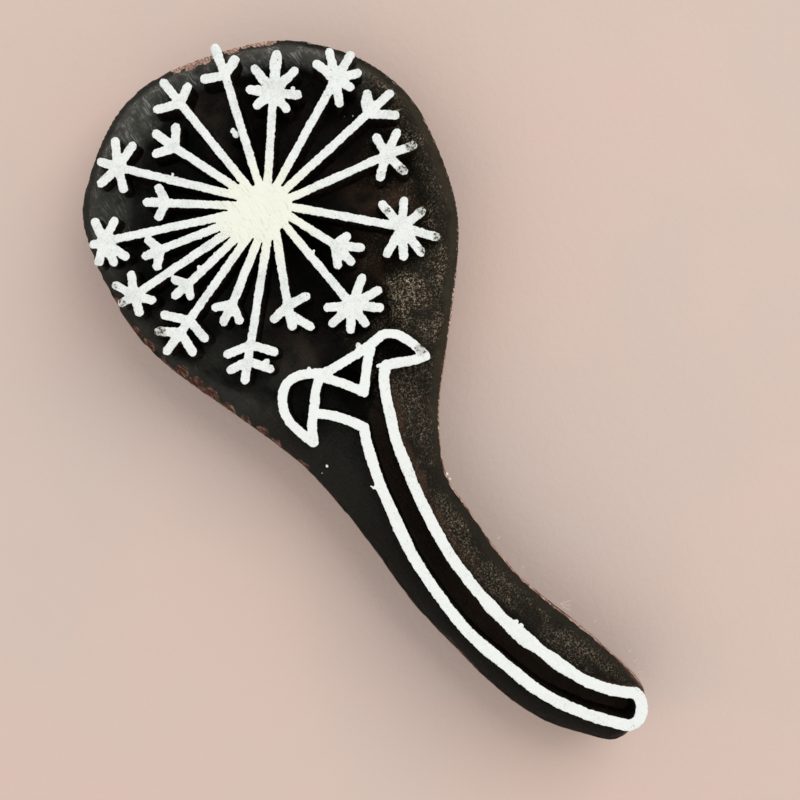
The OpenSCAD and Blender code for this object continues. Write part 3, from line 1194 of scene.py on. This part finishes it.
        # Painted highlight: a pale line along the right edges, where light catches them; it is stored with
        # the bare wood
        painted_edge_highlight = 1.1 * step(gap, 0.55, 0.28) * step(side, 2.0, 6.0) * step(y, 10.0, -30.0)
        depth = z - 16.4 + 0.9 * wide - 1.3 * fray
        bare = np.maximum(bare * step(depth, -0.9, 0.9), worn_rim * step(z, 13.0, 15.5))
        bare = np.maximum(bare, painted_edge_highlight * step(z - 0.8 * fray, 14.6, 16.0))
        cut = step(np.abs(n[:, 2]), 0.6, 0.3) * step(gap, 1.6, 0.6)
        cut = np.maximum(cut, step(z, 0.6, 0.1))
        corner = step(z, 1.4, 0.2) * step(gap, 1.4, 0.2) * (0.36 + 0.34 * lumps(p, 3.2, 25))
        bench.paint("outer", outer * step(z, self.ground - 1.0, self.ground))
        bench.paint("brown", brown)
        bench.paint("wear_and_painted_sheen", wear_and_painted_sheen)
        warm = self.spots(p, self.warm_ground, self.ground) * step(z, 18.6, 17.6)
        rail = to_path(p, RIGHT_RAIL)
        # Painted light: a reddish band on the slope beside the right rail stands in for its lit side, over
        # reddish wood
        lit_red_strip = step(0.3 * wave - rail, 2.8, 1.5) * step(-rail, 0.3, 0.8) * step(y, -27, -32)
        bench.paint("warm", np.maximum(warm, 1.1 * lit_red_strip * step(y, -74, -52)) * up)
        across = np.abs(to_path(p, LEFT_RAIL))
        strokes = 0.5 + 0.5 * lumps(np.stack([across, y * 0.1, across * 0.0], 1), (0.8, 2.0, 1.0), 26)
        deep = within(p, [*RIGHT_RAIL, *FOOT[1:], *LEFT_RAIL[::-1]])
        bench.paint("channel", np.where(deep, 0.25 + 0.75 * strokes, 0.0) * up)
        bench.paint("cut", cut)
        bench.paint("bare", np.maximum(bare, corner))
        bench.paint("pale", np.maximum(step(y, 12.0, 22.0), step(side, 1.0, 3.0)))

    @staticmethod
    def spots(p: np.ndarray, marks: Marks, z: float) -> np.ndarray:
        """Soft round marks on a surface.

        Args:
            p: Drawing points.
            marks: Pixel place, pixel width and strength of each mark.
            z: Height of the surface that carries them.

        Returns:
            The strongest mark at each point.
        """
        out = np.zeros(len(p))
        for px, py, wide, share in marks:
            x, y = DRAWING.seen(px, py, z)
            near = np.hypot(p[:, 0] - x, p[:, 1] - y)
            reach = wide * DRAWING.pixel
            out = np.maximum(out, share * step(near, reach * 1.3, reach * 0.4))
        return out


@dataclass
class RaisedFigure:
    """The wood of the raised lines under the coat: hub, rays, leaves and stem."""

    grid: float = 0.3
    top: float = 24.7
    ground: float = GROUND_HEIGHT
    flare: float = 0.42
    facet: float = 0.10
    nodes: list[str] = field(default_factory=lambda: ["flower_hub"]
                             + [f"seed_ray_{i:02d}" for i in range(1, 21)]
                             + ["left_leaf", "middle_leaf", "right_leaf", "neck_line"]
                             + ["stem_left_rail", "stem_right_rail", "stem_end"])

    def build(self, cad: dict[str, Piece], material: Material) -> list[Piece]:
        """Model and dress every line, from the CAD nodes by name."""
        return [self.line(cad[name], name, material) for name in self.nodes]

    def line(self, node: Piece, name: str, material: Material) -> Piece:
        """Model one line: a foot that spreads and sides with the strokes of the knife.

        Args:
            node: The CAD node that it stands for.
            name: The node's name.
            material: The line's finish.

        Returns:
            The piece.
        """
        bench = Bench.copy_of(node, f"carved_{name}")
        bench.remesh(self.grid)
        bench.modify("SMOOTH", factor=0.5, iterations=2)
        n = bench.normals()
        p = bench.points() / MM
        deep = np.clip((self.top - p[:, 2]) / (self.top - self.ground), 0.0, 1.0)
        cuts = lumps(p, (1.3, 1.3, 4.0), 31) + 0.5 * lumps(p, (0.6, 0.6, 1.6), 32)
        out = self.flare * deep ** 1.7 + self.facet * cuts * step(deep, 0.02, 0.2) - 0.04
        p[:, :2] += n[:, :2] * out[:, None]
        p[:, 2] = np.minimum(p[:, 2], self.top - 0.06)
        bench.move(self.inside(p * MM))
        bench.smooth_shade(45.0)
        bench.dress(material, Slot.LINE)
        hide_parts(name)
        return bench.piece

    @staticmethod
    def inside(co: np.ndarray) -> np.ndarray:
        """Keep points within the block's own box."""
        low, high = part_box("block_body")
        return np.clip(co, low, (high[0], high[1], DRAWING.face * MM))


@dataclass
class PrintingCoat:
    """The white coat on the lines, with ragged edges and worn tips."""

    grid: float = 0.15
    most: int = 185000
    ragged: float = 0.15
    drop_depth: float = 0.28
    drop_sunk: float = 0.15
    spur_reach: float = 4.0
    puff: Marks = (
        (523, 636, 18, 0.34), (493, 606, 14, 0.16), (560, 663, 16, 0.22), (402, 534, 16, 0.12),
        (487, 648, 16, 0.12), (524, 678, 14, 0.09), (262, 92, 12, 0.1), (275.5, 63, 10, 0.3),
        (216, 52, 9, 0.14), (235, 63, 9, 0.16), (208, 78, 9, 0.14),
        (367, 103, 8, 0.32), (333, 78, 9, 0.28), (276, 80, 10, 0.22), (118, 166, 8, 0.22),
    )
    spurs: Sequence[Triple] = (
        (358, 345, 5.4), (378, 366, 3.4), (380.5, 365.5, 4.0), (374, 488, 3.4), (371, 486.5, 2.4),
        (198.5, 267, 3.8), (266.5, 361.5, 6.2), (309, 368.5, 3.0), (516, 622, 3.4), (172.5, 174, 3.0),
        (521, 626, 2.6), (293, 88, 4.0), (314, 251, 2.6), (120, 238, 3.0),
    )
    worn_tips: Marks = (
        (411, 146, 8, 1.0), (402, 169.5, 7, 0.95), (382, 174, 5, 0.6), (367, 94, 4, 0.4), (391, 113, 6, 0.5),
        (358, 75, 6, 0.45), (387, 211, 5, 0.8), (422, 210, 7, 0.9), (438, 237, 7, 0.9), (424, 249, 7, 0.9),
        (421, 349, 9, 0.8), (160, 332, 8, 0.95), (115, 287, 5, 0.7), (122, 303, 6, 0.8), (98, 262, 6, 0.6),
        (640, 690, 10, 0.4), (410, 545, 12, 0.35), (425, 585, 12, 0.35), (430, 490, 14, 0.3),
        (500, 665, 14, 0.3), (410, 470, 10, 0.3), (268, 80, 12, 0.3), (120, 150, 9, 0.3),
    )

    def build(self, cad: dict[str, Piece], material: Material) -> list[Piece]:
        """Model and dress both coats, from the CAD nodes by name."""
        return [self.coat(cad[name], name, material) for name in ("coat_flower", "coat_stem")]

    def coat(self, node: Piece, name: str, material: Material) -> Piece:
        """Model one coat.

        Args:
            node: The CAD node that it stands for.
            name: The node's name.
            material: The coat's finish.

        Returns:
            The piece.
        """
        bench = Bench.copy_of(node, f"painted_{name}")
        self.add_spurs(bench)
        bench.remesh(self.grid)
        count = 2 * len(bench.piece.data.polygons)
        if count > self.most:
            bench.modify("DECIMATE", ratio=self.most / count)
        co = bench.points()
        n = bench.normals()
        p = co / MM
        side = step(np.hypot(n[:, 0], n[:, 1]), 0.25, 0.7)
        rag = lumps(p, 0.5, 41) * 0.55 + lumps(p, 0.26, 42) * 0.6 + lumps(p, 2.2, 43) * 0.45
        puff = CarvedBlock.spots(DRAWING.flat(co), self.puff, DRAWING.face)
        p[:, :2] += n[:, :2] * (side * (puff + self.ragged * rag))[:, None]
        upper = step(n[:, 2], 0.3, 0.9)
        thick = lumps(p, 0.6, 44) * 0.6 + lumps(p, 2.2, 45) * 0.5
        p[:, 2] -= upper * np.clip(0.08 - 0.11 * thick, 0.0, 0.20)
        bench.move(RaisedFigure.inside(p * MM))
        flat = DRAWING.flat(bench.points())
        far = np.hypot(flat[:, 0], flat[:, 1])
        worn = CarvedBlock.spots(flat, self.worn_tips, DRAWING.face)
        tips = step(far, 21.0, 28.0) * (0.22 + 0.22 * lumps(flat, 2.4, 46)) * step(flat[:, 1], -36.0, -30.0)
        bench.paint("worn", np.maximum(worn, tips))
        bench.paint("rim", side)
        bench.paint("creamy", step(far, 12.0, 6.0))
        bench.paint("less_painted_shade", np.full(len(flat), float(name == "coat_stem")))
        bench.smooth_shade(60.0)
        bench.dress(material, Slot.COAT)
        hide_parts(name)
        return bench.piece

    def add_spurs(self, bench: Bench) -> None:
        """Join the drops of paint that stick out beside the lines to the coat that they touch.

        Args:
            bench: The bench that holds the coat.
        """
        flat = DRAWING.flat(bench.points())
        drops = []
        for px, py, wide in self.spurs:
            x, y = DRAWING.seen(px, py, DRAWING.face)
            if np.hypot(flat[:, 0] - x, flat[:, 1] - y).min() > self.spur_reach:
                continue
            drop = Bench.primitive("drop", bpy.ops.mesh.primitive_cylinder_add, vertices=14,
                                   radius=wide / 2 * DRAWING.pixel * MM, depth=self.drop_depth * MM,
                                   location=DRAWING.place(x, y, DRAWING.face - self.drop_sunk))
            drop.settle()
            drops.append(drop)
        bench.join(drops, bench.piece.name)


@dataclass
class SmallMarks:
    """What the carver and the printer left: an uncut nub, drops of paint and splinters."""

    nub_pixel: tuple[float, float] = (234.5, 132.5)
    nub_foot: float = 1.5
    nub_head: float = 0.78
    nub_span: tuple[float, float] = (16.0, 24.2)
    nub_grid: float = 0.2
    nub_paint_grid: float = 0.08
    nub_lobes: Sequence[Triple] = ((0.22, -0.22, 0.72), (-0.42, 0.42, 0.52))
    splinter_root: float = 0.085
    splinter_tip: float = 0.02
    drops: Sequence[Triple] = (
        (327, 466, 2.8), (447, 474, 3.0), (450, 479, 2.4), (322, 473, 1.3), (344, 116, 1.4), (353, 116, 1.6),
        (305, 234, 1.5),
    )
    splinters: Sequence[tuple[float, float, float, float, float]] = (
        (563, 603, 2.4, 18.0, 15.5), (564, 605, 2.0, -4.0, 15.0), (565, 608, 1.7, -24.0, 15.2),
        (636, 660, 0.9, 30.0, 15.6), (641, 672, 1.0, 10.0, 15.3), (639, 667, 0.7, 48.0, 15.7),
        (643, 680, 0.8, -10.0, 15.5), (631, 650, 0.7, 40.0, 15.6), (596, 620, 0.6, 55.0, 15.8),
        (524, 566, 0.6, 45.0, 15.8), (500, 537, 0.7, 38.0, 15.6), (444, 470, 0.8, 25.0, 15.4),
    )

    def build(self, body: Piece, fibre: Material, line: Material, paint: Material) -> list[Piece]:
        """Model and dress the marks on the carved block, each in its own finish."""
        return [*self.nub(line, paint), self.paint_drops(body, paint), self.edge_splinters(fibre)]

    def nub(self, line: Material, paint: Material) -> list[Piece]:
        """Model the nub of wood that the gouge left standing, and the paint on it.

        Args:
            line: Finish of the raised lines' wood.
            paint: Finish of the coat.

        Returns:
            The nub and its paint.
        """
        x, y = DRAWING.seen(*self.nub_pixel, DRAWING.face)
        foot, head = self.nub_span
        post = Bench.primitive("carved_nub", bpy.ops.mesh.primitive_cone_add, vertices=20,
                               radius1=self.nub_foot * MM, radius2=self.nub_head * MM,
                               depth=(head - foot) * MM, location=DRAWING.place(x, y, (foot + head) / 2))
        post.settle()
        post.remesh(self.nub_grid)
        p = post.points() / MM
        p[:, :2] += post.normals()[:, :2] * (0.22 * lumps(p, (0.9, 0.9, 2.4), 51))[:, None]
        post.move(p * MM)
        post.smooth_shade(45.0)
        post.dress(line, Slot.LINE)
        lobes = []
        for dx, dy, radius in self.nub_lobes:
            lobe = Bench.primitive("lobe", bpy.ops.mesh.primitive_uv_sphere_add, segments=28, ring_count=16,
                                   radius=radius * MM, location=DRAWING.place(x + dx, y + dy, head))
            bpy.ops.transform.resize(value=(1.0, 1.0, 0.42))
            lobe.settle()
            lobes.append(lobe)
        cap = lobes[0].join(lobes[1:], "painted_nub")
        cap.remesh(self.nub_paint_grid)
        p = cap.points() / MM
        p += cap.normals() * (0.16 * lumps(p, 0.7, 52))[:, None]
        cap.move(p * MM)
        self.coat_marks(cap, 0.3)
        cap.dress(paint, Slot.COAT)
        return [post.piece, cap.piece]

    @staticmethod
    def coat_marks(bench: Bench, worn: float) -> None:
        """Give a drop of paint the values that the coat's finish reads.

        Args:
            bench: The bench that holds the drop.
            worn: How worn the drop is, from 0 to 1.
        """
        count = len(bench.piece.data.vertices)
        for name, value in (("worn", worn), ("rim", 0.0), ("creamy", 0.0), ("less_painted_shade", 1.0)):
            bench.paint(name, np.full(count, value))
        bench.smooth_shade(60.0)

    @staticmethod
    def surface(body: Piece, px: float, py: float) -> Vector:
        """Find the place on the block that shows at a pixel.

        Args:
            body: The carved block.
            px: Pixel from the left.
            py: Pixel from the top.

        Returns:
            The place in metres.
        """
        low, high = (DRAWING.place(*DRAWING.seen(px, py, z), z) for z in (0.0, 30.0))
        hit, at, _, _ = body.ray_cast(high, (low - high).normalized())
        return at if hit else DRAWING.place(*DRAWING.seen(px, py, EDGE_HEIGHT), EDGE_HEIGHT)

    def paint_drops(self, body: Piece, paint: Material) -> Piece:
        """Model the drops of paint that fell beside the figure.

        Args:
            body: The carved block that they lie on.
            paint: Their finish.

        Returns:
            The drops as one piece.
        """
        parts = []
        for px, py, wide in self.drops:
            part = Bench.primitive("drop", bpy.ops.mesh.primitive_uv_sphere_add, segments=16, ring_count=10,
                                   radius=wide / 2 * DRAWING.pixel * MM, location=self.surface(body, px, py))
            bpy.ops.transform.resize(value=(1.0, 1.2, 0.5))
            part.settle()
            parts.append(part)
        piece = parts[0].join(parts[1:], "paint_drops")
        p = piece.points() / MM
        piece.move((p + piece.normals() * (0.07 * lumps(p, 0.35, 53))[:, None]) * MM)
        self.coat_marks(piece, 0.0)
        piece.dress(paint, Slot.COAT)
        return piece.piece

    def edge_splinters(self, fibre: Material) -> Piece:
        """Model the fine splinters along the stem's edge, each tapered and a little bent.

        Args:
            fibre: Their finish.

        Returns:
            The splinters as one piece.
        """
        parts = []
        for px, py, long, turn, z in self.splinters:
            x, y = DRAWING.seen(px, py, z)
            part = Bench.primitive("splinter", bpy.ops.mesh.primitive_cone_add, vertices=7, depth=long * MM,
                                   radius1=self.splinter_root * MM, radius2=self.splinter_tip * MM)
            part.edit(lambda: bpy.ops.mesh.subdivide(number_cuts=4))
            p = part.points() / MM
            p[:, 2] += long / 2 - 0.5
            p[:, 0] += 0.05 * p[:, 2] ** 2
            part.move(p * MM)
            part.piece.rotation_euler = (0.0, math.radians(84.0), math.radians(turn) - DRAWING.lean)
            part.piece.location = DRAWING.place(x, y, z)
            part.settle()
            parts.append(part)
        piece = parts[0].join(parts[1:], "edge_splinters")
        piece.smooth_shade(60.0)
        piece.dress(fibre, Slot.BLOCK)
        return piece.piece


@dataclass
class Studio:
    """Floor, lights and camera."""

    reach: float = 1.6
    height: float = 305.0
    aim: tuple[float, float] = (-1.05, -0.08)
    lens: float = 70.0
    room: float = 0.57
    room_tint: Colour = (1.0, 0.985, 0.97)
    lamps: Sequence[tuple[str, Triple, float, float]] = (
        ("window", (0.46, 0.50, 0.98), 0.85, 6.7), ("reflector", (-0.40, -0.35, 0.95), 0.9, 2.6),
    )

    def build(self, material: Material) -> None:
        """Set up the stage.

        Args:
            material: The floor's finish.
        """
        self.floor(material)
        self.lights()
        self.camera()

    def floor(self, material: Material) -> None:
        """Lay the floor.

        Args:
            material: Its finish.
        """
        bench = Bench.primitive("floor", bpy.ops.mesh.primitive_plane_add, size=2 * self.reach,
                                location=(0.0, 0.0, 0.0))
        bench.edit(lambda: bpy.ops.mesh.subdivide(number_cuts=8))
        bench.settle()
        bench.piece.data.materials.append(material)

    def lights(self) -> None:
        """Fill the room with soft light and hang the lamps."""
        world = bpy.data.worlds.new("soft_room")
        bpy.context.scene.world = world
        world.use_nodes = True
        background = world.node_tree.nodes["Background"].inputs
        background["Color"].default_value = (*self.room_tint, 1.0)
        background["Strength"].default_value = self.room
        for lamp in self.lamps:
            self.lamp(*lamp)

    def lamp(self, name: str, seen_from: Triple, size: float, power: float) -> None:
        """Hang a square lamp that points at the block.

        Args:
            name: Name of the lamp.
            seen_from: Its place along the picture's right, the picture's up, and the height, in metres.
            size: Width of the lamp in metres.
            power: Power in watts.
        """
        right, up, high = seen_from
        c, s = DRAWING.turn()
        spot = Vector((right * c + up * s, up * c - right * s, high))
        data = bpy.data.lights.new(name, "AREA")
        data.size = size
        data.energy = power
        lamp = bpy.data.objects.new(name, data)
        lamp.location = spot
        lamp.rotation_euler = (-spot).to_track_quat("-Z", "Y").to_euler()
        bpy.context.scene.collection.objects.link(lamp)

    def camera(self) -> None:
        """Look straight down on the block, turned so that it leans as it was seen."""
        data = bpy.data.cameras.new("camera")
        data.lens = self.lens
        data.sensor_width = 36.0
        data.clip_start = 0.01
        camera = bpy.data.objects.new("camera", data)
        camera.location = (self.aim[0] * MM, self.aim[1] * MM, self.height * MM)
        camera.rotation_euler = (0.0, 0.0, -DRAWING.lean)
        bpy.context.scene.collection.objects.link(camera)
        bpy.context.scene.camera = camera


def main() -> None:
    """Build every piece in order."""
    logging.basicConfig(level=logging.INFO, format="%(message)s")
    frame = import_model()
    cad = frame["nodes"]
    bpy.context.scene.view_settings.view_transform = "Standard"
    effects = Effects()
    Studio().build(PaleFloor(effects).material())
    wood = BlockWood(effects).material()
    line = LineWood(effects).material()
    paint = ChalkCoat(effects).material()
    pieces = [CarvedBlock().build(cad["block_body"], wood)]
    pieces += RaisedFigure().build(cad, line)
    pieces += PrintingCoat().build(cad, paint)
    pieces += SmallMarks().build(pieces[0], PaleFibre(effects).material(), line, paint)
    for piece in pieces:
        LOG.info("%s: %d faces", piece.name, len(piece.data.polygons))


if __name__ == "__main__":
    main()
